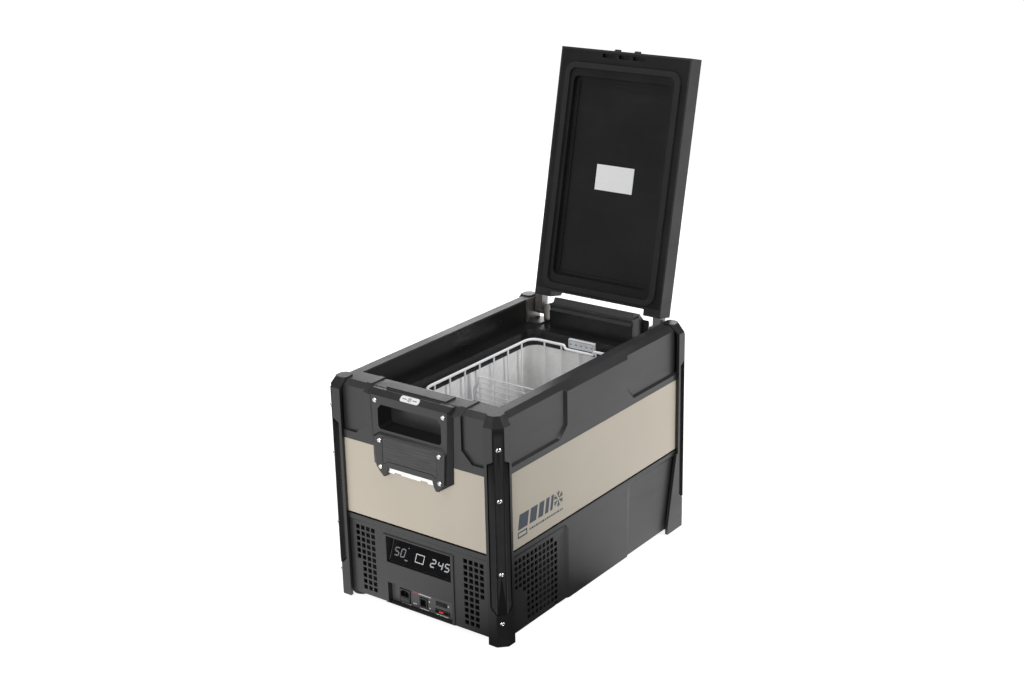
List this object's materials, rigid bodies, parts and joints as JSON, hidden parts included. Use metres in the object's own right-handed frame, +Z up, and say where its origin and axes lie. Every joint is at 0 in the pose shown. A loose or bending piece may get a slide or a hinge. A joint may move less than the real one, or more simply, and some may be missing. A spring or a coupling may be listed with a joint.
{
  "type": "compressor cooler fridge",
  "caption": "Chest compressor fridge with a hinged lid that stands open, wire basket, corner posts, end handles, vents and a recessed control panel.",
  "frame": {"origin": "centre of the four base bolt holes, on the plane that the feet stand on", "axes": "+X to the right of someone facing the control panel, -Y out of the control panel, +Z up; the lid opens towards +Y"},
  "size_m": [0.416, 0.7902, 0.9911],
  "materials": {
    "housing": "finely textured moulded",
    "post": "finely textured moulded",
    "guard": "satin",
    "band": "satin powder coat",
    "base": "matt",
    "rubber": "matt",
    "liner": "satin",
    "tub": "satin",
    "foam": "cellular",
    "bare_metal": "satin",
    "screw": "bright",
    "steel": "brushed",
    "badge": "satin",
    "compressor": "satin",
    "board": "matt",
    "copper": "satin",
    "display": "gloss",
    "socket": "matt",
    "fuse": "gloss",
    "lens": "clear",
    "wire": "gloss white coating",
    "lid": "finely textured moulded",
    "lid_inner": "satin"
  },
  "bodies": {
    "cabinet": {"base_tray": "base", "foot_pads": "rubber", "lower_front_fascia": "housing", "lower_left_panel": "housing", "lower_right_panel": "housing", "lower_rear_panel": "housing", "band_front": "band", "band_rear": "band", "band_left": "band", "band_right": "band", "upper_shell": "housing", "well_liner": "liner", "tub": "tub", "evaporator": "bare_metal", "insulation_foam": "foam", "post_front_right": "post", "post_front_left": "post", "post_rear_right": "post", "post_rear_left": "post", "guard_front_right": "guard", "guard_front_left": "guard", "guard_rear_right": "guard", "guard_rear_left": "guard", "guard_screws": "screw", "front_handle": "housing", "rear_handle": "housing", "handle_plates": "housing", "tie_bars": "steel", "handle_screws": "screw", "badge": "badge", "compressor": "compressor", "compressor_feet": "rubber", "condenser": "bare_metal", "fan_shroud": "base", "control_board": "board", "refrigerant_pipes": "copper", "display_module": "display", "display_window": "display", "socket_panel": "housing", "ac_inlet": "socket", "dc_inlet": "socket", "fuse_holder": "socket", "blade_fuse": "fuse", "port_cap": "rubber", "interior_light": "lens", "strike_plate": "steel", "hinge_brackets": "steel", "hinge_pins": "steel"},
    "lid": {"lid_shell": "lid", "lid_inner_panel": "lid_inner", "lid_gasket": "rubber", "lid_foam": "foam", "hinge_arms": "steel"},
    "paddle": {"latch_paddle": "lid"},
    "bolt": {"latch_bolt": "lid"},
    "button": {"set_button": "display"},
    "drawer": {"fuse_drawer": "socket"},
    "fan": {"fan_rotor": "base"},
    "basket": {"basket": "wire"},
    "divider": {"basket_divider": "wire"}
  },
  "joints": [
    {"name": "lid_hinge", "type": "hinge", "parent": "cabinet", "child": "lid", "pos_m": [0, 0.3054, 0.4329], "axis": [-1, 0, 0], "range_deg": [-102.4, 0]},
    {"name": "latch_paddle_lift", "type": "hinge", "parent": "lid", "child": "paddle", "pos_m": [0, 0.44514, 0.95856], "axis": [-1, 0, 0], "range_deg": [0, 25], "stiffness_Nm_per_rad": 0.2, "springref_deg": -20.05},
    {"name": "latch_bolt_slide", "type": "slide", "parent": "lid", "child": "bolt", "axis": [0, -0.2147, -0.9767], "range_m": [0, 0.009]},
    {"name": "set_button_press", "type": "slide", "parent": "cabinet", "child": "button", "axis": [0, 0.9205, -0.3907], "range_m": [0, 0.001], "stiffness_N_per_m": 400, "springref_m": -0.001},
    {"name": "fuse_drawer_slide", "type": "slide", "parent": "cabinet", "child": "drawer", "axis": [0, -1, 0], "range_m": [0, 0.015]},
    {"name": "fan_spin", "type": "hinge", "parent": "cabinet", "child": "fan", "pos_m": [-0.1335, -0.246, 0.09], "axis": [1, 0, 0], "continuous": true},
    {"name": "basket_lift", "type": "slide", "parent": "cabinet", "child": "basket", "axis": [0, 0, 1], "range_m": [0, 0.4]},
    {"name": "divider_lift", "type": "slide", "parent": "basket", "child": "divider", "axis": [0, 0, 1], "range_m": [0, 0.33]}
  ],
  "couplings": [
    {"joint": "latch_paddle_lift", "follows": "latch_bolt_slide", "rad_per_m": 48}
  ]
}
